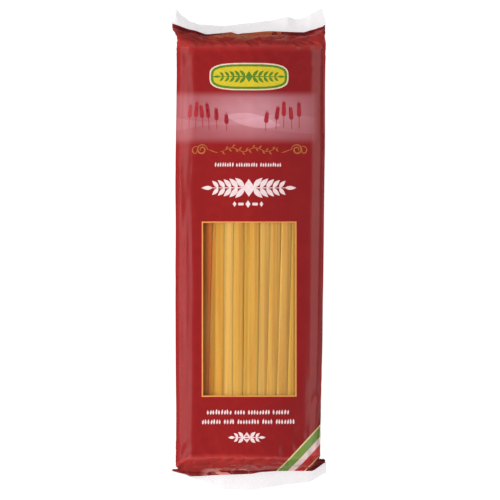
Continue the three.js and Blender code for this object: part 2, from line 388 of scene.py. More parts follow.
def edge_shift(y, side):
    """How far an edge of the body at y is off its middle place: side is -1 left, 1 right."""
    return SIDE_LEAN * y + side * (SIDE_TAPER * y - SIDE_BARREL * y * y)


def fold_line(across, end):
    """Where the full section ends: the corners of the bundle push the fold out further."""
    droop = np.where(across < 0, *end["corner_droop"])
    return end["fold"] + end["sign"] * droop * np.abs(across) ** DROOP_POWER


def bend(value, start, soft):
    """0 before start and then as far as value is past it, with a bend this soft between."""
    into = np.clip(value - start + soft, 0.0, 2.0 * soft)
    return into * into / (4.0 * soft) + np.maximum(value - start - soft, 0.0)


def crown(across, depth, y):
    """How far the front stands above the plain section.

    To the right it falls from the middle on, to the left it stays level, and the ribbons under
    both long edges give each edge a flat bevel, whose border wanders a little on the left."""
    wander = BEVEL_WANDER * noise(0.5, y / 55, 18)
    fall = RIGHT_FALL * np.clip(across, 0, 1) ** RIGHT_FALL_POWER
    left = LEFT_BEVEL * bend(-across, LEFT_BEVEL_START + wander, LEFT_BEVEL_SOFT)
    right = RIGHT_BEVEL * bend(across, RIGHT_BEVEL_START, RIGHT_BEVEL_SOFT)
    return (FRONT_CROWN - fall - left - right) * np.clip(depth * 4 - 3, 0, 1)


def body_rows(share, around):
    """Points of the full section, share 0 at the bottom fold to 1 at the top fold."""
    across, depth = plain_section(around)
    y = blend(fold_line(across, BOTTOM), fold_line(across, TOP), share[:, None])
    x, z = rounded(across * HALF_WIDTH, depth * MIDDLE_Z, HALF_WIDTH, MIDDLE_Z, CORNER_RADIUS)
    edge = smoothstep(EDGE_ZONE, 1.0, np.abs(across))
    x = TUBE_X + x + edge * edge_shift(y, np.sign(across))
    z = MIDDLE_Z + z + crown(across, depth, y)
    return points_at(x, y, z)


def roof_rows(down, around, end):
    """Points of a sloping end, down from 0 at the fold to 1 at the fin."""
    across, depth = plain_section(around)
    angle = down[:, None] * math.pi / 2
    outwards = np.sin(angle) ** ROOF_POWER
    is_open = np.clip(np.cos(angle), 0.0, 1.0) ** ROOF_POWER
    half_depth = blend(FIN_HALF_THICKNESS, MIDDLE_Z, is_open)
    flare = smoothstep(np.where(across < 0, *end["flare"]), 0.0, is_open)
    half_width = blend(HALF_WIDTH, FIN_HALF_WIDTH, flare)
    radius = np.minimum(CORNER_RADIUS * is_open ** 2 + FIN_HALF_THICKNESS / 2, half_depth * 0.95)
    x, z = rounded(across * half_width, depth * half_depth, half_width, half_depth, radius)
    fold = fold_line(across, end)
    edge = smoothstep(EDGE_ZONE, 1.0, np.abs(across)) * edge_shift(fold, np.sign(across))
    tuck = TUCK_SHARE * np.sqrt(MIDDLE_Z ** 2 - half_depth ** 2) * smoothstep(0.95, 0.4, is_open)
    x = x + (TUBE_X + edge) * (1 - flare) - across * tuck * (1 - np.abs(depth))
    z = MIDDLE_Z + z + is_open * crown(across, depth, fold)
    return points_at(x, blend(fold, end["roof_end"](x), outwards), z)


def foot_rows(out, around, end):
    """Points of a fin's printed foot, out from 0 where the slopes meet to 1 at the print edge."""
    across, depth = plain_section(around)
    x = FIN_HALF_WIDTH * across - TUCK_SHARE * MIDDLE_Z * across * (1 - np.abs(depth))
    y = blend(end["roof_end"](x), end["print_edge"](x), out[:, None])
    return points_at(x, y, MIDDLE_Z + depth * FIN_HALF_THICKNESS)

# %% [markdown]
# ## Wrinkles
#
# Stiff, glossy film doesn't lie smooth. It swells a little over the bundle, shows faint ridges
# where ribbons press from inside, gathers in long streaks down one long edge and crumples into
# small facets where the ends are folded. Each of these is its own layer of noise, stretched
# the way its wrinkles run and kept to its own place, and the grid moves along its normals.

# %% Wrinkle layers
def ridged(value):
    """Turns smooth noise into creases: 1 along the crease, falling off sharply."""
    return 1.0 - np.minimum(np.abs(value) * 2.2, 1.0)


def wrinkles(around, y):
    """How far the film stands off its smooth form, in mm, round and along the tube."""
    way, y = np.broadcast_arrays(around, y)
    swell = 0.3 * noise(way / 34, y / 52, 11) + 0.13 * noise(way / 13, y / 26, 12)
    pressed = 0.06 * smoothstep(42, 30, np.abs(way)) * noise(way / 4.6, y / 130, 13)

    # Streaks along the left edge, longest in the middle, and dents low on the right edge.
    left = smoothstep(-58, -44, way) * smoothstep(-30, -38, way)
    long_run = smoothstep(-60, -20, y) * smoothstep(100, 70, y)
    streaks = -0.4 * left * (0.3 + 0.7 * long_run) * ridged(noise(way / 3.6, y / 48, 14))
    right = smoothstep(32, 42, way) * smoothstep(66, 56, way) * smoothstep(-60, -90, y)
    dents = -0.4 * right * ridged(noise(way / 9, y / 17, 15))

    # Crumples near both ends, and facets on their slopes that are deeper in the foot's corner.
    to_end = np.minimum(TOP["fold"] - y, y - BOTTOM["fold"])
    near_end = smoothstep(22, 0, to_end)
    crumple = 0.5 * near_end * (ridged(noise(way / 8.5 + y / 30, y / 7, 16)) - 0.3)
    fine = 0.14 * near_end * noise(way / 2.8, y / 3.1, 17)
    ear = smoothstep(34, 42, way) * smoothstep(68, 58, way) * smoothstep(-110, -122, y)
    facets = (1.1 + 1.0 * ear) * (ridged(noise(way / 13 - y / 21, y / 9, 19)) - 0.35)
    return swell + pressed + streaks + dents + crumple + fine + facets * smoothstep(-6, -13, to_end)


def grid_normals(points):
    """The outward normals of a tube's grid."""
    along = np.gradient(points, axis=0)
    wrapped = np.concatenate([points[:, -1:], points, points[:, :1]], axis=1)
    around = (wrapped[:, 2:] - wrapped[:, :-2]) / 2
    normal = np.cross(around, along)
    return normal / np.maximum(np.linalg.norm(normal, axis=2, keepdims=True), 1e-9)

# %% [markdown]
# ## The printed film and its window
#
# The window is no hole but a place without print. It shows another finish though, and what is
# clear is simplest as a mesh of its own. So both pieces come out of one grid, whose rows and
# columns pass exactly along the window's edges, and no gap or step shows between them.

# %% Build the tube's grid
ROW_STEP = 1.6
FOOT_ROWS, ROOF_ROWS = 3, 18
BODY_LENGTH = TOP["fold"] - BOTTOM["fold"]
WINDOW_SHARES = [(y - BOTTOM["fold"]) / BODY_LENGTH for y in WINDOW_EDGES_Y]

body_share = even_steps(0, 1, ROW_STEP / BODY_LENGTH, WINDOW_SHARES)
roof_share = np.linspace(0, 1, ROOF_ROWS + 1)[1:]
foot_share = np.linspace(0, 1, FOOT_ROWS + 1)[1:]
tube = np.concatenate([
    foot_rows(foot_share, tube_columns, BOTTOM)[::-1],
    roof_rows(roof_share, tube_columns, BOTTOM)[::-1],
    body_rows(body_share, tube_columns),
    roof_rows(roof_share, tube_columns, TOP),
    foot_rows(foot_share, tube_columns, TOP),
])

# On the slopes the way along the film goes on at the slope's length, not at the height lost.
front_column = int(np.argmin(np.abs(tube_columns)))
steps = np.linalg.norm(np.diff(tube[:, front_column], axis=0), axis=1)
along_film = np.concatenate([[0], np.cumsum(steps)])
along_film += BOTTOM["fold"] - along_film[FOOT_ROWS + ROOF_ROWS]

thick_share = np.clip(np.abs(tube[:, front_column, 2] - MIDDLE_Z) / MIDDLE_Z, 0, 1)[:, None]
offsets = wrinkles(tube_columns[None, :], along_film[:, None]) * smoothstep(0, 0.25, thick_share)
tube = tube + grid_normals(tube) * offsets[:, :, None]
tube[:, :, 2] = np.maximum(tube[:, :, 2], BACK_RISE)
tube_normals = grid_normals(tube)
print("tube grid:", tube.shape[:2], "box:", tube.reshape(-1, 3).min(0).round(1),
      tube.reshape(-1, 3).max(0).round(1))

# %% Printed film and window film
def face_middles(values):
    """The middles between neighbouring rows or columns."""
    return (values[1:] + values[:-1]) / 2


face_y = face_middles(tube[:, front_column, 1])
face_around = np.append(face_middles(tube_columns), HALF_WAY_ROUND)
row_inside = (face_y > WINDOW_EDGES_Y[0]) & (face_y < WINDOW_EDGES_Y[1])
column_inside = (face_around > WINDOW_EDGES_X[0]) & (face_around < WINDOW_EDGES_X[1])
in_window = row_inside[:, None] & column_inside[None, :]

printed_film = grid_piece("printed_film_tube", tube, tube_columns, along_film,
                          keep=~in_window, round_tube=True)
# The pane ends a hair inside the print, so that their two edge walls don't coincide.
PANE_INSET = 0.02                # of a face of the grid
pane = tube.copy()
for grid, inside in ((pane.swapaxes(0, 1), column_inside), (pane, row_inside)):
    first, last = np.flatnonzero(inside)[[0, -1]] + (0, 1)
    for edge, inner in ((first, first + 1), (last, last - 1)):
        grid[edge] += (grid[inner] - grid[edge]) * PANE_INSET
window_pane = grid_piece("window_film_pane", pane, tube_columns, along_film,
                         keep=in_window, round_tube=True)
thickened(printed_film, FILM_WALL)
thickened(window_pane, FILM_WALL)

# %% [markdown]
# ## The lap seam
#
# The sheet's two long edges lap over each other down the middle of the back and are sealed
# there. The lap is a strip of the tube's own grid, lifted off it by the thickness of a film.

# %% Build the lap seam
SEAM_HALF_WIDTH = 6.0
SEAM_LIFT = 0.24
SEAM_OFF_FLOOR = 0.02
seam_columns = np.flatnonzero(HALF_WAY_ROUND - np.abs(tube_columns) < SEAM_HALF_WIDTH)
seam_columns = np.roll(seam_columns, -int(np.sum(tube_columns[seam_columns] < 0)))
seam_around = tube_columns[seam_columns] % (2 * HALF_WAY_ROUND)
seam_points = (tube + tube_normals * SEAM_LIFT)[1:-1, seam_columns]
seam_points[:, :, 2] = np.maximum(seam_points[:, :, 2], SEAM_OFF_FLOOR)
lap_seam = grid_piece("back_lap_seam", seam_points, seam_around, along_film[1:-1])
thickened(lap_seam, FILM_WALL)

# %% [markdown]
# ## Clear fin seals
#
# Beyond the print the film is clear, and hot jaws have pressed its four layers together in fine
# ribs. The ribs are the same all along, at one pitch, so a small Geometry Nodes tree makes
# them: it lifts the fin by a wave over the distance from the print, which is stored on the
# points.

# %% A tree that crimps a fin
def new_geometry_tree(name, wanted):
    """A Geometry Nodes tree with the inputs wanted, given as the kind of each by its name.

    Also what flows in at each input, and the inputs' identifiers, both by name."""
    tree = bpy.data.node_groups.new(name, "GeometryNodeTree")
    for way in ("INPUT", "OUTPUT"):
        tree.interface.new_socket("Geometry", in_out=way, socket_type="NodeSocketGeometry")
    ids = {label: tree.interface.new_socket(label, in_out="INPUT",
                                            socket_type="NodeSocket" + kind).identifier
           for label, kind in wanted.items()}
    inputs = tree.nodes.new("NodeGroupInput").outputs
    return tree, {label: Flow(inputs[label]) for label in ("Geometry", *wanted)}, ids


def finish_tree(tree, geometry, material):
    """Ends a tree with realized instances and a material."""
    realized = wired(tree, "GeometryNodeRealizeInstances", Geometry=geometry)
    painted = wired(tree, "GeometryNodeSetMaterial", Geometry=realized, Material=material)
    filled(tree.nodes.new("NodeGroupOutput"), Geometry=painted)


def put_tree_on(piece, tree, ids, amounts):
    """Gives a piece a modifier with a tree, whose inputs are set by their identifiers."""
    modifier = piece.modifiers.new(tree.name, "NODES")
    modifier.node_group = tree
    for label, amount in amounts.items():
        modifier[ids[label]] = amount


def store(piece, name, values):
    """Stores a number on each of a piece's points, for a tree or a material to read."""
    piece.data.attributes.new(name, "FLOAT", "POINT").data.foreach_set("value", values)


def stored(tree, name):
    """What flows from a number stored on the points."""
    return wired(tree, "GeometryNodeInputNamedAttribute", {"data_type": "FLOAT"}, Name=name)


def crimp_tree():
    """A tree that lifts points by a wave over their distance from the print."""
    tree, given, ids = new_geometry_tree("crimp", {"Pitch": "Float", "Depth": "Float",
                                                   "Material": "Material"})
    turns = stored(tree, "from_print") / given["Pitch"]
    wave = calc("SINE", turns * (2.0 * math.pi))
    moved = wired(tree, "GeometryNodeSetPosition", Geometry=given["Geometry"],
                  Offset=vector_of(tree, Z=wave * given["Depth"]))
    finish_tree(tree, moved, given["Material"])
    return tree, ids


crimp, crimp_ids = crimp_tree()
print("crimp tree inputs:", list(crimp_ids))

# %% Build both seals
CRIMP_PITCH = 1.3
CRIMP_DEPTH = 0.12
SEAL_WALL = 0.2
seal_across = np.linspace(-1, 1, 121)
seal_out = np.linspace(0, 1, 37)


def fin_seal(name, end):
    """The clear part of a fin, out from the print edge to the cut edge."""
    out = seal_out[:, None]
    x = seal_across * (FIN_HALF_WIDTH - end["fin_narrows"] * out)
    print_edge, cut_edge = end["print_edge"](x), end["cut_edge"](x)
    shown = np.abs(cut_edge - print_edge)
    lean = end["lean_share"] * np.sqrt(np.maximum(SEAL_DEPTH ** 2 - shown ** 2, 0.0))
    y = blend(print_edge, cut_edge, out)
    z = MIDDLE_Z - lean * out + 0.5 * out * noise(x / 11, y / 9, 21)
    points = points_at(x, y, z)[::end["sign"]]
    from_print = np.broadcast_to(out * SEAL_DEPTH, x.shape)[::end["sign"]]
    piece = grid_piece(name, points, seal_across * FIN_HALF_WIDTH, seal_out * SEAL_DEPTH)
    store(piece, "from_print", from_print.ravel() * MM)
    return piece


top_seal = fin_seal("top_seal_fin", TOP)
bottom_seal = fin_seal("bottom_seal_fin", BOTTOM)

# %% [markdown]
# ## Materials
#
# Every finish is a small tree of shader nodes. The print reads the film's own UV map, which is
# in real metres round and along the tube.

# %% Shader helpers
def srgb(red, green, blue):
    """A colour as picked on a screen, 0 to 255, in the linear numbers that a shader wants."""
    def linear(value):
        value /= 255
        return value / 12.92 if value <= 0.04045 else ((value + 0.055) / 1.055) ** 2.4
    return (linear(red), linear(green), linear(blue), 1.0)


def new_material(name, **sockets):
    """A material and its Principled shader, with the given sockets set."""
    material = bpy.data.materials.new(name)
    material.use_nodes = True
    return material, filled(material.node_tree.nodes["Principled BSDF"], **sockets)


def object_place(shader):
    """The place in the part, in metres, for a shader's tree."""
    return wired(shader.id_data, "ShaderNodeTexCoord", output="Object")


def in_mm(vector):
    """A vector in metres, in mm."""
    return wired(vector.tree, "ShaderNodeVectorMath", {"operation": "SCALE"}, Vector=vector,
                 Scale=1.0 / MM)


def fade(value, low, high):
    """0 below low and 1 above high, smoothly, also when high is the smaller one."""
    return wired(value.tree, "ShaderNodeMapRange", {"interpolation_type": "SMOOTHSTEP"},
                 Value=value, From_Min=low, From_Max=high)


def between(value, low, high, soft):
    """1 where the value lies from low to high, with edges this soft."""
    return fade(value, low - soft, low + soft) * fade(value, high + soft, high - soft)


def mixed(share, first, second):
    """The second colour over the first, by share."""
    return wired(share.tree, "ShaderNodeMix", {"data_type": "RGBA"}, Factor=share, A=first,
                 B=second)


def textured(vector, scale, detail=3.0, stretch=(1.0, 1.0, 1.0)):
    """Noise of 0 to 1 on a vector, scale lumps to its unit, stretched by axis."""
    mapping = wired(vector.tree, "ShaderNodeMapping", Vector=vector, Scale=stretch)
    return wired(vector.tree, "ShaderNodeTexNoise", Vector=mapping, Scale=scale, Detail=detail)


def bumped(shader, height, strength, distance):
    """Gives a shader a bump from a height of 0 to 1."""
    filled(shader, Normal=wired(height.tree, "ShaderNodeBump", Height=height,
                                Strength=strength, Distance=distance))


def crinkled(shader, place, strength=0.25, folds=0.0):
    """The fine crinkle of thin film, too small to model, on top of any folds."""
    fine = textured(place, 420.0, 4.0)
    broad = textured(place, 90.0, 2.0, (1.0, 0.45, 1.0))
    bumped(shader, 0.25 * fine + broad + folds, strength, 0.0004)

# %% [markdown]
# ### The print
#
# The print is fields of colour: a deep red all over, a pale pink picture band that fades at its
# edges, a gold line round the window and a slanting stripe of green, white and red over the
# lower right corner. Each field is a mask worked out from the place on the film, and the masks
# lay one colour over the other.
# Some masks paint light and shade into the colour: shade on the right of the front, painted sheen
# on the sloping ends, painted shade on the fins' feet and the lower right corner, and painted
# highlights on the creases near the seals.

# %% Colours of the print, and of the light and shade painted on it
RED = srgb(129, 25, 26)
# Darker red over the right of the front: partly a gradient in the print, partly painted shade
DARKER_PRINT_AND_SHADE_RED = srgb(123, 23, 26)
# A paler red for the sloping ends: painted sheen, standing in for what the slopes mirror
PAINTED_SHEEN_RED = srgb(176, 54, 49)
# The darkest red is painted shade, on the fins' printed feet and the folded lower right corner
PAINTED_SHADE_RED = srgb(84, 14, 18)
# Tan and rose patches on the creases near the seals are painted highlights
TAN_GLINT = srgb(176, 90, 58)
ROSE_GLINT = srgb(204, 126, 120)
PALE_PINK = srgb(208, 158, 168)
GOLD = srgb(205, 140, 77)
CREAM = srgb(208, 192, 142)
GREEN = srgb(104, 134, 60)
WHITE = srgb(212, 186, 183)
BRIGHT_RED = srgb(176, 44, 44)

# %% Places in the print, in mm round and along the film
# The ends of the film slope from the first place to the second, the lower one along an arch.
TOP_SLOPE, BOTTOM_SLOPE = (117.0, 123.0), (-121.4, -124.4)
ARCH, ARCH_X = 0.0011, -20.0
# The picture band fades in from the first place to the second, at all four edges.
BAND_FOOT, BAND_TOP = (61.8, 67.4), (95.0, 90.0)
BAND_LEFT, BAND_RIGHT = (-66.0, -48.0), (41.5, 35.0)
GLOW_MIDDLE, GLOW_REACH = (3.0, 82.0), (30.0, 13.0)     # where the band is palest
FIELD_MIDDLE, FIELD_REACH = (2.0, 77.0), (17.0, 4.2)    # a pale field, shaped like a lens
FIELD_TILT = 0.17
# Both hills: waves to the mm, where they start, height, level, and how much paler they are.
HILLS = ((0.075, 0.0, 2.2, 78.0, 0.07), (0.06, 2.4, 2.8, 71.5, -0.06))
BORDER_WIDTH = 0.8
EDGE_SOFT = 0.06
RIGHT_SIDE = FLAT_ACROSS + CORNER_WAY    # where the right side wall begins
TOP_FOOT, BOTTOM_FOOT = along_film[-1 - FOOT_ROWS], along_film[FOOT_ROWS]

# The stripe stays straight over the folds, so it follows the place in the part.
STRIPE_START = (42.1, -105.9)    # where the cream line meets the right edge
STRIPE_NORMAL = (0.731, -0.683)  # the way across it
STRIPES = ((0.0, 0.8, CREAM), (0.8, 4.9, GREEN), (4.9, 8.0, WHITE), (8.0, 12.2, BRIGHT_RED),
           (12.2, 12.8, CREAM))
# Where crease facets get painted highlights: from and to along the pack, middle and reach across
# it, colour.
CREASE_HIGHLIGHTS = ((123.5, 127.0, 0.0, 26.0, TAN_GLINT), (-130.8, -132.6, -13.0, 17.0, ROSE_GLINT))

# %% Fields of the print
def past_folds(around, along):
    """1 where the film slopes down to a seal."""
    arched = along + ARCH * squared(around - ARCH_X)
    return calc("MAXIMUM", fade(along, *TOP_SLOPE), fade(arched, *BOTTOM_SLOPE))


def ground(around, along):
    """The red ground, darker along the right edge of the front and a little along the left: the
    right is partly a gradient in the print and partly painted shade where the front turns from the
    lamp.
    """
    # Darker towards the right: partly painted shade where the front falls away from the lamp.
    to_right = fade(around + 0.3 * calc("MAXIMUM", along - 60.0, 0.0), 0.0, 30.0)
    to_left = 0.5 * fade(around, -16.0, -34.0)
    on_front = between(around, -38.0, 36.8, 0.2)
    return mixed(calc("MAXIMUM", to_right, to_left) * on_front, RED, DARKER_PRINT_AND_SHADE_RED)


def ends(colour, around, along, place, sloping, creases):
    """Past both folds the print is paler, as painted sheen, with painted shade on the fins' feet
    and painted highlights on the creases near the seals.
    """
    x, y, _ = split_vector(place)
    # Painted sheen: the slopes are made paler, as if lit by what they mirror.
    colour = mixed(0.55 * sloping, colour, PAINTED_SHEEN_RED)
    # Painted shade on the fins' printed feet, under the folds.
    shaded_feet = calc("MAXIMUM", fade(along, TOP_FOOT - 1.0, TOP_FOOT),
                fade(along, BOTTOM_FOOT + 1.0, BOTTOM_FOOT))
    colour = mixed(0.7 * shaded_feet, colour, PAINTED_SHADE_RED)
    # Painted highlights: patches of crease facets and thin lines along the creases are made paler.
    patches = fade(textured(place, 0.17, 1.0, (0.7, 1.3, 0.35)), 0.47, 0.51)
    painted_glints = calc("MAXIMUM", patches, 0.5 * fade(creases, 0.016, 0.003))
    painted_glints = painted_glints * fade(abs(around), RIGHT_SIDE + 1.0, RIGHT_SIDE)
    for low, high, middle, reach, glint in CREASE_HIGHLIGHTS:
        share = fade(y, low, high) * fade(abs(x - middle), reach, reach - 8.0)
        colour = mixed(share * painted_glints, colour, glint)
    return colour


def off_middle(around, along, middle, reach):
    """How far a place is off a middle, round and along the film, as shares of its reach."""
    return (around - middle[0]) / reach[0], (along - middle[1]) / reach[1]


def picture_band(colour, around, along):
    """A pale band that fades at its edges, with a hill in front of another and a field."""
    band = (fade(along, *BAND_FOOT) * fade(along, *BAND_TOP)
            * fade(around, *BAND_LEFT) * fade(around, *BAND_RIGHT))
    across, up = off_middle(around, along, GLOW_MIDDLE, GLOW_REACH)
    paleness = 0.42 * calc("EXPONENT", -1.0 * (squared(across) + squared(up))) + 0.14
    for waves, start, height, level, paler in HILLS:
        hill = height * calc("SINE", waves * around + start) + level
        paleness = paleness + paler * fade(along - hill, 0.25, -0.25)
    across, up = off_middle(around, along + FIELD_TILT * around, FIELD_MIDDLE, FIELD_REACH)
    paleness = paleness + 0.2 * fade(squared(across) + abs(up), 1.04, 0.9)
    return mixed(band * paleness, colour, PALE_PINK)


def window_border(colour, around, along):
    """The gold line round the window."""
    outside = calc("MAXIMUM", abs(around - (WINDOW_X - TUBE_X)) - WINDOW_WIDTH / 2,
                   abs(along - WINDOW_Y) - WINDOW_LENGTH / 2)
    return mixed(fade(outside, BORDER_WIDTH + EDGE_SOFT, BORDER_WIDTH - EDGE_SOFT), colour, GOLD)


def corner_stripe(colour, around, place):
    """The slanting stripe, and painted shade over the corner that the lower seal flattens into
    folds of its own.
    """
    x, y, _ = split_vector(place)
    up_the_side = calc("MAXIMUM", around - RIGHT_SIDE, 0.0)
    start = float(np.dot(STRIPE_START + SHIFT[:2], STRIPE_NORMAL))
    across = (x + up_the_side) * STRIPE_NORMAL[0] + y * STRIPE_NORMAL[1] - start
    on_corner = fade(around, 70.0, 69.0) * fade(around, 5.0, 6.0)
    for low, high, field in STRIPES:
        colour = mixed(between(across, low, high, EDGE_SOFT) * on_corner, colour, field)
    # The folded lower right corner is darkened: painted shade where it faces away from the light.
    ear = fade(x - 0.667 * y, 124.0, 125.2) * fade(y, -120.5, -122.5)
    return mixed(0.8 * ear, colour, PAINTED_SHADE_RED)

# %% Film material
CREASE_DEPTH = 0.12              # the creases of the ends fall off from 0 to this
CREASE_BUMP = 38.0


def printed_finish():
    """Glossy red film with its print and painted shade and highlights, creased in facets past both
    folds.
    """
    material, shader = new_material("printed_film", Roughness=0.2, IOR=1.42)
    film_place = in_mm(wired(shader.id_data, "ShaderNodeUVMap", {"uv_map": "film"}))
    around, along, _ = split_vector(film_place)
    place = object_place(shader)
    sloping = past_folds(around, along)
    creases = abs(textured(in_mm(place), 0.15, 1.0, (0.7, 1.1, 0.3)) - 0.5)
    colour = ends(ground(around, along), around, along, in_mm(place), sloping, creases)
    colour = picture_band(colour, around, along)
    colour = window_border(colour, around, along)
    colour = corner_stripe(colour, around, in_mm(place))
    worn = fade(textured(place, 160.0), 0.35, 0.75)
    filled(shader, Base_Color=mixed(0.1 * worn, colour, srgb(165, 42, 38)))
    folds = calc("MINIMUM", creases, CREASE_DEPTH) * sloping * CREASE_BUMP
    crinkled(shader, place, folds=folds)
    return material


film_material = printed_finish()
for piece in (printed_film, lap_seam):
    piece.data.materials.append(film_material)

# %% Clear film
def seal_film():
    """Clear film that crimping has made milky."""
    material, shader = new_material("clear_seal_film", Base_Color=srgb(206, 198, 202),
                                    Roughness=0.3, Alpha=0.26, IOR=1.4)
    crinkled(shader, object_place(shader), 0.5)
    return material


def window_film():
    """Clear film: see-through, with a gloss that grows towards grazing light."""
    material, shader = new_material("clear_window_film")
    tree = shader.id_data
    tree.nodes.remove(shader)
    clear = wired(tree, "ShaderNodeBsdfTransparent", Color=(1.0, 0.985, 0.965, 1.0))
    gloss = wired(tree, "ShaderNodeBsdfGlossy", Roughness=0.12)
    outer_face = 1.0 - wired(tree, "ShaderNodeNewGeometry", output="Backfacing")
    share = wired(tree, "ShaderNodeFresnel", IOR=1.42) * outer_face
    both = wired(tree, "ShaderNodeMixShader", _0=share, _1=clear, _2=gloss)
    filled(tree.nodes["Material Output"], Surface=both)
    return material


window_pane.data.materials.append(window_film())
seal_material = seal_film()
for seal in (top_seal, bottom_seal):
    put_tree_on(seal, crimp, crimp_ids, {"Pitch": CRIMP_PITCH * MM, "Depth": CRIMP_DEPTH * MM,
                                         "Material": seal_material})
    thickened(seal, SEAL_WALL, 0.0)

# %% [markdown]
# ## The pasta
#
# The bundle is about two hundred flat ribbons, lying lengthwise. Where each one lies is a
# plain list of numbers: the ones on top are listed one by one, as they show through the window,
# and the rest are spread over the section by a seeded random draw. The ribbons themselves all
# follow one rule, so a Geometry Nodes tree makes them: a line along the pack from each point,
# leaned and swayed by the numbers stored on that point, and swept with a flat arched section.

# %% A tree that makes ribbons
RIBBON_WIDTH, RIBBON_THICKNESS = 6.8, 1.1
RIBBON_ARCH = 0.35               # how far a ribbon's middle stands above its edges
SECTION_POINTS = 18
SIDE_POWER, FACE_POWER = 0.8, 0.45  # square off a circle into a flat bar with rounded edges


def ribbon_tree():
    """A tree that sweeps a leaned and swayed ribbon from each point."""
    tree, given, ids = new_geometry_tree("ribbons", {
        "Length": "Float", "Ribbon width": "Float", "Ribbon thickness": "Float",
        "Arch": "Float", "Pivot along the pack": "Float", "Steps": "Int", "Material": "Material",
    })

    # A line along the pack from each point.
    half = 0.5 * given["Length"]
    strand = wired(tree, "GeometryNodeCurvePrimitiveLine",
                   Start=vector_of(tree, Y=-1.0 * half), End=vector_of(tree, Y=half))
    stepped = wired(tree, "GeometryNodeResampleCurve", Curve=strand, Count=given["Steps"])
    copies = wired(tree, "GeometryNodeInstanceOnPoints", Points=given["Geometry"],
                   Instance=stepped)
    loose = wired(tree, "GeometryNodeRealizeInstances", Geometry=copies)

    # Lean and sway, as stored for each ribbon.
    _, y, _ = split_vector(wired(tree, "GeometryNodeInputPosition"))
    from_pivot = y - given["Pivot along the pack"]
    lean, climb = from_pivot * stored(tree, "lean"), from_pivot * stored(tree, "climb")
    wave = calc("SINE", y * stored(tree, "waves") + stored(tree, "phase"))
    sway = wave * stored(tree, "sway")
    bent = wired(tree, "GeometryNodeSetPosition", Geometry=loose,
                 Offset=vector_of(tree, X=lean + sway, Z=0.25 * sway + climb))
    upright = wired(tree, "GeometryNodeSetCurveNormal", {"mode": "Z_UP"}, Curve=bent)
    rolled = wired(tree, "GeometryNodeSetCurveTilt", Curve=upright, Tilt=stored(tree, "roll"))

    # The section.
    ring = wired(tree, "GeometryNodeCurvePrimitiveCircle", Resolution=SECTION_POINTS, Radius=1.0)
    across, up, _ = split_vector(wired(tree, "GeometryNodeInputPosition"))
    wide = calc("SIGN", across) * calc("POWER", abs(across), SIDE_POWER)
    flat = calc("SIGN", up) * calc("POWER", abs(up), FACE_POWER)
    section = vector_of(tree, X=wide * (0.5 * given["Ribbon width"]),
                        Y=flat * (0.5 * given["Ribbon thickness"]) + squared(wide) * given["Arch"])
    bar = wired(tree, "GeometryNodeSetPosition", Geometry=ring, Position=section)
    swept = wired(tree, "GeometryNodeCurveToMesh", Curve=rolled, Profile_Curve=bar,
                  Fill_Caps=True)
    smooth = wired(tree, "GeometryNodeSetShadeSmooth", Geometry=swept)
    finish_tree(tree, smooth, given["Material"])
    return tree, ids


ribbons_tree, ribbon_ids = ribbon_tree()
print("ribbon tree inputs:", list(ribbon_ids))

# %% Where each ribbon lies
LAYER_PITCH = 2.55
SIDE_BY_SIDE = 5.5               # from one ribbon to the next in a layer, alternately raised
RAISED = 1.3
UNDER_TOP = 3.5                  # from the film to the layer below the top ones
SIDE_ROOM = 3.6                  # between the side of the tube and the outermost ribbons
BUNDLE_CLEARANCE = 0.7
HOLLOW = 1.5                     # the ribbons lie this much lower along the window's left edge
pasta_low, pasta_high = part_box("pasta_bundle")
END_ROOM = 1.3                   # between the solid bundle's ends and the ribbons' ends
RIBBON_LENGTH = (pasta_high.y - pasta_low.y) / MM - 2 * END_ROOM
BUNDLE_MIDDLE_Y = (pasta_high.y + pasta_low.y) / 2 / MM - SHIFT[1]

# On top, from left to right: place across at the window's middle, lean in mm per mm, how deep
# in the bundle, roll in degrees that lifts the right edge, and tone from 0, deep, to 1, pale;
# the low tones by the window's left edge are painted shade.
TOP_RIBBONS = (
    (-38.0, 0.008, 2.0, 9, 0.5), (-32.4, 0.016, 1.0, 2, 0.3), (-26.6, 0.020, 0.9, 2, 0.05),
    (-21.6, 0.022, 1.5, 2, 0.25), (-17.6, 0.012, 0.8, 6, 0.45), (-12.9, 0.003, 1.1, 15, 0.9),
    (-6.9, 0.004, 0.8, 0, 0.6), (-1.6, 0.008, 1.5, 0, 0.5), (2.3, 0.010, 0.8, 0, 0.65),
    (8.2, 0.020, 1.0, -6, 0.9), (14.6, 0.023, 1.0, -9, 0.75), (21.0, 0.026, 0.9, -11, 0.85),
    (27.3, 0.028, 1.0, -12, 0.65), (33.5, 0.030, 1.6, -12, 0.5),
)


def film_height(x):
    """The inside of the front film above a place across the pack."""
    return THICKNESS + crown(x / HALF_WIDTH, 1.0, WINDOW_Y) - FILM_WALL


def bundle_height(x):
    """The top of the bundle, which fills the film but for a hollow left of the middle."""
    hollow = HOLLOW * smoothstep(-40, -30, x) * smoothstep(-11, -19, x)
    return film_height(x) - BUNDLE_CLEARANCE - hollow


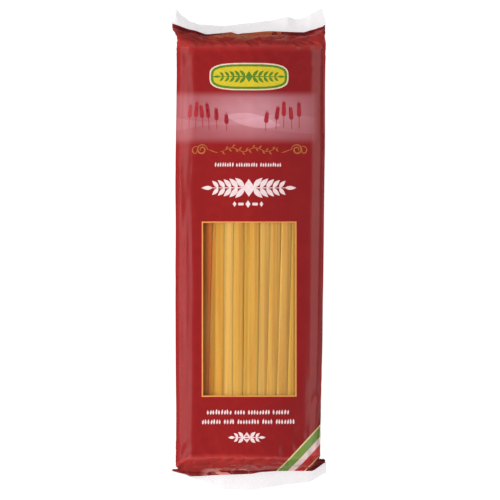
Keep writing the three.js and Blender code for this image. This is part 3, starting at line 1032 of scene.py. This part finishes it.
def ribbon_places():
    """One row for each ribbon: x, z, lean, sway, roll and tone, from which the rest follows.

    On top, a low tone is partly painted shade.
    """
    draw = np.random.default_rng(8)
    rows = []
    for x, lean, deep, roll, tone_and_shade in TOP_RIBBONS:
        z = bundle_height(x) - RIBBON_THICKNESS / 2 - deep
        rows.append([x, z, lean, 0.2, math.radians(roll), tone_and_shade])
    lowest = BACK_RISE + FILM_WALL + RIBBON_THICKNESS / 2 + RIBBON_ARCH + 0.3
    outermost = HALF_WIDTH - SIDE_ROOM - RIBBON_WIDTH / 2
    layers = round((film_height(0.0) - UNDER_TOP - lowest) / LAYER_PITCH)
    for height in np.linspace(0, 1, layers + 1):
        for i, x in enumerate(np.arange(-outermost, outermost + 0.1, SIDE_BY_SIDE)):
            top = bundle_height(x) + BUNDLE_CLEARANCE - UNDER_TOP - RAISED
            z = blend(lowest, top, height) + (RAISED if i % 2 else 0.0)
            inside = 1.0 - abs(x) / outermost
            lean = SIDE_LEAN + SIDE_TAPER * x / HALF_WIDTH + draw.uniform(-0.008, 0.008) * inside
            rows.append([x + draw.uniform(-1, 1) * inside, z + draw.uniform(-0.15, 0.15), lean,
                         draw.uniform(0.1, 0.4), draw.uniform(-0.06, 0.06),
                         draw.uniform(0.3, 0.9)])
    rows = np.array(rows)
    count = len(rows)
    slope = (film_height(rows[:, 0] + 1.0) - film_height(rows[:, 0] - 1.0)) / 2.0
    return {
        "place": points_at(rows[:, 0] + TUBE_X,
                           BUNDLE_MIDDLE_Y + draw.uniform(-0.9, 0.9, count), rows[:, 1]),
        "lean": rows[:, 2], "sway": rows[:, 3] * MM, "roll": -rows[:, 4],
        "waves": draw.uniform(18, 36, count), "phase": draw.uniform(0, 2 * math.pi, count),
        "tone_and_shade": rows[:, 5], "climb": rows[:, 2] * slope,
    }


places = ribbon_places()
print(f"{len(places['place'])} ribbons of {RIBBON_LENGTH:.0f} mm")

# %% Pasta material
def pasta_finish():
    """Dry durum wheat pasta: golden, matt, with fine lengthwise marks from the drawing die.

    A low tone gives a deep orange that is painted shade.
    """
    material, shader = new_material(
        "dry_pasta", Roughness=0.48, IOR=1.45, Subsurface_Weight=0.55, Subsurface_Scale=0.004,
        Subsurface_Radius=(1.0, 0.5, 0.2))
    place = object_place(shader)
    tone_and_shade = 2.0 * wired(shader.id_data, "ShaderNodeAttribute", {"attribute_name": "tone_and_shade"}, "Fac")
    streaks = textured(place, 700.0, 3.0, (1.0, 0.012, 1.0))
    patches = textured(place, 60.0, 2.0, (1.0, 0.25, 1.0))
    flecks = textured(place, 1500.0, 1.0)
    # Tone 0 is a deep red-orange: painted shade, standing in for red light from the printed film on
    # shaded ribbons.
    colour = srgb(198, 98, 34)
    for share, layer in (
        (tone_and_shade, srgb(199, 150, 61)),
        (tone_and_shade - 1.0, srgb(203, 161, 88)),
        (0.62 * fade(streaks, 0.4, 0.66), srgb(176, 120, 42)),
        (0.3 * fade(patches, 0.45, 0.7), srgb(204, 162, 84)),
        (0.3 * fade(flecks, 0.62, 0.75), srgb(178, 112, 40)),
    ):
        colour = mixed(share, colour, layer)
    filled(shader, Base_Color=colour)
    bumped(shader, streaks, 0.35, 0.0002)
    return material

# %% Build the ribbons
RIBBON_STEPS = 25
pasta = new_piece("pasta_ribbons", places["place"], np.empty((0, 3), int))
for key in ("lean", "climb", "sway", "roll", "waves", "phase", "tone_and_shade"):
    store(pasta, key, places[key])
put_tree_on(pasta, ribbons_tree, ribbon_ids, {
    "Length": RIBBON_LENGTH * MM, "Ribbon width": RIBBON_WIDTH * MM, "Steps": RIBBON_STEPS,
    "Ribbon thickness": RIBBON_THICKNESS * MM, "Arch": RIBBON_ARCH * MM,
    "Pivot along the pack": (WINDOW_Y + SHIFT[1]) * MM, "Material": pasta_finish(),
})
finished(pasta)

# %% [markdown]
# ## Printed ornaments
#
# The finer print, such as scrolls, sprigs and rows of small grains, is drawn with strokes: a
# path with a width that swells and thins, as a brush makes it. Each stroke is a narrow strip of
# mesh laid exactly on the film, so that it stays crisp and bends over every wrinkle with it.

# %% Strokes on the film
PRINT_LIFT = 0.05
PRINT_WALL = 0.03


def on_film(places_on_film, lift):
    """Points just off the film's outside, from mm round and along it."""
    column = np.interp(places_on_film[..., 0], tube_columns, np.arange(len(tube_columns)))
    row = np.interp(places_on_film[..., 1], along_film, np.arange(len(along_film)))
    c = np.minimum(column.astype(int), len(tube_columns) - 2)
    r = np.minimum(row.astype(int), len(along_film) - 2)
    fc, fr = (column - c)[..., None], (row - r)[..., None]
    lifted = tube + tube_normals * lift
    low, high = (blend(lifted[r + i, c], lifted[r + i, c + 1], fc) for i in (0, 1))
    return blend(low, high, fr)


def stroke(path, widths, columns=2):
    """A strip along a path of [x, y] points, with a width for each point."""
    ahead = np.gradient(path, axis=0)
    ahead /= np.maximum(np.linalg.norm(ahead, axis=1, keepdims=True), 1e-9)
    beside = points_at(-ahead[:, 1], ahead[:, 0])
    share = np.linspace(0.5, -0.5, columns)
    return path[:, None] + beside[:, None] * (np.asarray(widths)[:, None] * share)[..., None]


def printed(name, strokes, material, lift=PRINT_LIFT):
    """One piece from many strokes on the film, in mm round and along it."""
    faces, count = [], 0
    for strip in strokes:
        faces.append(grid_faces(*strip.shape[:2])[0] + count)
        count += strip.shape[0] * strip.shape[1]
    points = np.concatenate([on_film(strip, lift).reshape(-1, 3) for strip in strokes])
    piece = new_piece(name, points, np.concatenate(faces))
    piece.data.materials.append(material)
    thickened(piece, PRINT_WALL, 1.0)
    piece.data.shade_flat()
    return piece


def ink(name, colour, second):
    """Printing ink under the film's gloss, a little uneven."""
    material, shader = new_material(name, Roughness=0.22, IOR=1.42)
    place = object_place(shader)
    uneven = fade(textured(place, 900.0, 2.0), 0.35, 0.7)
    filled(shader, Base_Color=mixed(uneven, colour, second))
    crinkled(shader, place)
    return material

# %% Shapes to draw with
HAIRLINE = 0.02                  # no stroke narrows to less


def leaf(foot, angle, length, width, bend=0.0):
    """A pointed leaf or grain that grows from its foot."""
    share = np.linspace(0, 1, 9)
    ahead, aside = share * length, bend * np.sin(share * math.pi)
    c, s = math.cos(angle), math.sin(angle)
    path = points_at(ahead * c - aside * s, ahead * s + aside * c) + foot
    return stroke(path, width * np.sin(share ** 0.85 * math.pi) + HAIRLINE)


def level(middle, half_length, share, height, columns=2):
    """A stroke along a level line, with a height at each share of it from -1 to 1."""
    path = points_at(middle[0] + share * half_length, middle[1])
    return stroke(path, height + HAIRLINE, columns)


def bar(middle, length, height):
    """A short bar with round ends."""
    share = np.concatenate([np.linspace(-1, -0.8, 4), np.linspace(0.8, 1, 4)])
    reach = np.clip((1 - np.abs(share)) * length / height, 0, 1)
    return level(middle, length / 2, share, height * np.sqrt(1 - (1 - reach) ** 2))


def lozenge(middle, width, height):
    """A diamond that stands on its point."""
    share = np.linspace(-1, 1, 7)
    return level(middle, width / 2, share, height * (1 - np.abs(share)))


def grains_in_row(middle, half_length, height, draw):
    """A row of small grains in groups of uneven length, as set type looks from afar."""
    pitch, x, strips = height * 0.56, -half_length, []
    while x < half_length - height:
        for _ in range(draw.integers(4, 10)):
            if x < half_length:
                foot = (middle[0] + x, middle[1] - height / 2)
                strips.append(leaf(foot, math.pi / 2 + draw.uniform(-0.2, 0.05),
                                   height * draw.uniform(0.85, 1.1), height * 0.36))
            x += pitch
        x += pitch * 0.8
    return strips

# %% Gold scrolls and vine
LINE_Y = 59.3                    # the line that the scrolls and the vine lie on
VINE_HALF_LENGTH, VINE_WAVE = 17.5, 1.1


def coiled(middle, start, half_turns, radii, steps, squash=(1.0, 1.0)):
    """The path of a coil, from where it starts, clockwise, over both radii."""
    angle = start - np.linspace(0, 1, steps) * half_turns * math.pi
    radius = np.linspace(*radii, steps)
    return points_at(radius * np.cos(angle), radius * np.sin(angle)) * squash + middle


def scroll(side):
    """A scroll that opens away from the middle, with a smaller curl beyond it."""
    coil = coiled((28.4, LINE_Y), math.pi, 3.2, (3.3, 0.9), 48)
    curl = coiled((32.2, LINE_Y - 0.7), math.radians(115), 1.7, (3.2, 0.8), 24, (0.8, 0.9))
    share = np.linspace(0, 1, 16)
    tail = points_at(19.0 + 6.1 * share, LINE_Y - 1.7 + 1.7 * smoothstep(0, 1, share))
    strips = []
    for path, low, high in ((coil, 0.3, 0.9), (tail, 0.22, 0.5), (curl, 0.22, 0.6)):
        swell = np.sin(np.linspace(0.05, 0.95, len(path)) * math.pi)
        strips.append(stroke(path * (side, 1.0), blend(low, high, swell)))
    return strips


def vine():
    """A thin vine with leaves between the scrolls."""
    def wave(x):
        return LINE_Y + VINE_WAVE * np.sin(x / VINE_HALF_LENGTH * 2.5 * math.pi)

    share = np.linspace(-1, 1, 120)
    stem = points_at(share * VINE_HALF_LENGTH, wave(share * VINE_HALF_LENGTH))
    strips = [stroke(stem, 0.22 + 0.2 * np.cos(share * math.pi / 2))]
    for i, x in enumerate(np.linspace(-16.0, 16.0, 17)):
        up = 1 if i % 2 else -1
        strips.append(leaf((x, wave(x)), up * 0.95, 2.5, 0.85, 0.3 * up))
    return strips


gold_ink = ink("gold_print", srgb(154, 85, 47), srgb(168, 100, 56))
gold_print = printed("gold_scrolls", scroll(-1) + scroll(1) + vine(), gold_ink)

# %% White sprigs and rows of grains
def sprig(middle, half_length, pairs, leaf_length, leaf_width):
    """A level sprig: a lozenge in the middle and pairs of leaves towards both ends."""
    x0, y0 = middle
    share = np.linspace(-1, 1, 30)
    strips = [level(middle, half_length, share, 0.55 * (1 - np.abs(share)) + 0.23),
              lozenge(middle, leaf_width * 2.2, leaf_length * 1.25)]
    for side in (-1, 1):
        outwards, slant = (0.0, 0.85) if side > 0 else (math.pi, math.pi - 0.85)
        for share in (np.arange(pairs) + 0.75) / pairs:
            foot = (x0 + side * share * (half_length - leaf_length * 0.4), y0)
            size = 1.0 - 0.35 * share
            for up in (-1, 1):
                strips.append(leaf(foot, up * slant, leaf_length * size, leaf_width * size,
                                   0.3 * up * side))
        strips.append(leaf((x0 + side * (half_length - 1.0), y0), outwards,
                           leaf_length * 0.8, leaf_width * 0.7))
    return strips


SMALL_ROW = (-0.9, 26.8)         # a row of lozenges and bars under the large sprig
draw = np.random.default_rng(4)
white_strips = sprig((-0.4, 36.5), 22.6, 5, 8.4, 3.4)
white_strips += grains_in_row((-0.6, 50.3), 19.7, 2.6, draw)
white_strips += [lozenge(SMALL_ROW, 3.0, 4.4)]
for side in (-1, 1):
    white_strips += [bar((SMALL_ROW[0] + side * 4.2, SMALL_ROW[1]), 3.4, 2.2),
                     lozenge((SMALL_ROW[0] + side * 8.0, SMALL_ROW[1]), 2.2, 3.2)]
white_strips += grains_in_row((-0.6, -97.4), 24.3, 3.0, draw)
white_strips += grains_in_row((-0.6, -103.1), 27.3, 3.0, draw)
white_strips += sprig((-1.6, -112.5), 8.2, 2, 4.9, 2.3)
white_ink = ink("white_print", srgb(219, 198, 198), srgb(208, 184, 186))
white_print = printed("white_sprigs_and_grains", white_strips, white_ink)

# %% Ears of wheat in the picture band
# The foot of each ear's stalk, across and along, and its height.
WHEAT = (
    (-36.2, 72.5, 11.5), (-32.2, 71.6, 14.0), (-28.0, 72.6, 11.0), (-24.2, 71.2, 13.6),
    (-19.6, 71.4, 10.5), (-13.6, 70.4, 8.0), (9.6, 70.6, 9.0), (15.8, 71.4, 11.4),
    (20.4, 72.3, 13.6), (25.2, 71.6, 11.0), (29.6, 72.2, 13.2),
)


def ear_of_wheat(x, foot, height, draw):
    """One ear: a thin bent stalk, pairs of grains up its top and fine awns."""
    lean = draw.uniform(-0.08, 0.1)
    upwards = math.pi / 2 - lean * 1.6

    def on_stalk(share):
        return points_at(x + lean * share ** 2 * height, foot + share * height)

    strips = [stroke(on_stalk(np.linspace(0, 1, 12)), np.full(12, 0.3))]
    for i in range(6):
        for side in (-1, 1):
            strips.append(leaf(on_stalk(0.5 + 0.1 * i), upwards - side * 0.5, 2.7 - 0.12 * i,
                               1.5, 0.15 * side))
    for side in (-1, 0, 1):
        strips.append(leaf(on_stalk(1.0), upwards - side * 0.22, draw.uniform(2.4, 3.4), 0.26))
    return strips


wheat_draw = np.random.default_rng(9)
wheat_strips = [strip for ear in WHEAT for strip in ear_of_wheat(*ear, wheat_draw)]
wheat_ink = ink("dark_red_print", srgb(158, 44, 50), srgb(148, 36, 44))
wheat_print = printed("wheat_ears", wheat_strips, wheat_ink)

# %% Cushion-shaped badge
BADGE = (-0.3, 102.9)
CUSHION_POWER = 3.4


def cushion(middle, half_width, half_height):
    """A filled cushion shape, drawn as one wide stroke."""
    share = np.sin(np.linspace(-1, 1, 73) * math.pi / 2)
    height = np.maximum(1 - np.abs(share) ** CUSHION_POWER, 0) ** (1 / CUSHION_POWER)
    return level(middle, half_width, share, 2 * half_height * height, columns=14)


def cushion_rim(middle, half_width, half_height, width):
    """The outline of a cushion shape."""
    turn = np.linspace(0, 2 * math.pi, 193)
    corner = points_at(np.cos(turn), np.sin(turn))
    corner = np.sign(corner) * np.abs(corner) ** (2 / CUSHION_POWER)
    return stroke(corner * (half_width, half_height) + middle, np.full(len(turn), width))


badge_ink = ink("yellow_print", srgb(194, 174, 44), srgb(187, 165, 40))
cream_ink = ink("cream_print", srgb(208, 188, 168), srgb(200, 178, 152))
green_ink = ink("green_print", srgb(84, 122, 42), srgb(74, 112, 36))
badge = printed("badge_field", [cushion(BADGE, 23.0, 7.6)], badge_ink)
badge_rim = printed("badge_rim", [cushion_rim(BADGE, 23.2, 7.8, 0.75)], cream_ink,
                    2 * PRINT_LIFT)
badge_sprig = printed("badge_sprig", [cushion_rim(BADGE, 22.0, 6.7, 1.3),
                                      *sprig(BADGE, 18.2, 5, 5.4, 2.0)],
                      green_ink, 2.4 * PRINT_LIFT)

# %% [markdown]
# ## Stage, light and camera
#
# The pack lies on a white table in a pale room. Film is glossy, so what it mirrors matters as
# much as what lights it: one lamp on the left gives most of the light and isn't mirrored, and
# large dim boxes round the pack give its folds and slopes something soft to mirror.

# %% Table
TABLE_REACH = 3.0                # metres to each side
table_corners = np.array([(-1, -1, 0), (1, -1, 0), (1, 1, 0), (-1, 1, 0)]) * TABLE_REACH / MM
floor = new_piece("floor", table_corners, np.array([(0, 1, 2, 3)]))
floor_material, _ = new_material(
    "white_table", Base_Color=(0.12, 0.12, 0.12, 1.0), Roughness=0.9,
    Emission_Color=(1, 1, 1, 1), Emission_Strength=0.97)
floor.data.materials.append(floor_material)
floor.visible_glossy = False

# %% Lamps and room
AIM = Vector((0.0, 0.0, 0.02))   # all lamps face this place
for name, place, size, power in (
    ("key", (-0.72, -0.05, 0.62), (0.5, 0.4), 11.8),
    ("left_box", (-0.82, 0.0, 1.26), (2.4, 0.47), 4.6),
    ("right_box", (0.985, 0.0, 1.13), (2.4, 0.55), 5.5),
    ("low_right_box", (1.3, -0.62, 0.5), (1.2, 0.5), 1.7),
    ("foot_box", (0.0, -1.15, 0.9), (1.4, 0.7), 3.5),
    ("head_box", (0.0, 1.15, 0.9), (1.4, 0.7), 1.0),
):
    light = bpy.data.lights.new(name, "AREA")
    light.shape = "RECTANGLE"
    light.size, light.size_y = size
    light.energy = power
    lamp = bpy.data.objects.new(name, light)
    lamp.location = place
    lamp.rotation_mode = "QUATERNION"
    lamp.rotation_quaternion = (Vector(place) - AIM).to_track_quat("Z", "Y")
    lamp.visible_glossy = name != "key"
    scene.collection.objects.link(lamp)

world = bpy.data.worlds.new("pale_room")
world.use_nodes = True
room = world.node_tree
_, _, sky_z = split_vector(wired(room, "ShaderNodeTexCoord", output="Generated"))
walls = fade(sky_z, 0.97, 0.8) * fade(sky_z, -0.1, 0.35)
filled(room.nodes["Background"], Color=(1, 1, 1, 1),
       Strength=0.2 * walls + 0.1 * fade(sky_z, -0.1, 0.2) + 0.02)
scene.world = world
scene.view_settings.view_transform = "Standard"

# %% Camera
CAMERA_HEIGHT = 4000.0
PIXEL = 0.6                      # mm of the pack's middle plane for each pixel
FRAME_PIXELS = 500
CAMERA_X, CAMERA_Y = 0.9, -0.6
camera_data = bpy.data.cameras.new("camera")
camera_data.lens = camera_data.sensor_width * (CAMERA_HEIGHT - MIDDLE_Z) / (FRAME_PIXELS * PIXEL)
camera_data.clip_end = 20.0
camera = bpy.data.objects.new("camera", camera_data)
camera.location = ((CAMERA_X + SHIFT[0]) * MM, (CAMERA_Y + SHIFT[1]) * MM, CAMERA_HEIGHT * MM)
scene.collection.objects.link(camera)
scene.camera = camera

# %% Tie the pieces to the frame
for piece, node, slot in (
    (printed_film, "printed_film", "printed_film"),
    (window_pane, "window_film", "clear_film"),
    (top_seal, "top_seal", "clear_film"),
    (bottom_seal, "bottom_seal", "clear_film"),
    (pasta, "pasta_bundle", "pasta"),
):
    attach(piece, "root")
    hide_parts(node)
for piece in (lap_seam, gold_print, white_print, wheat_print, badge, badge_rim, badge_sprig):
    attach(piece, "root")
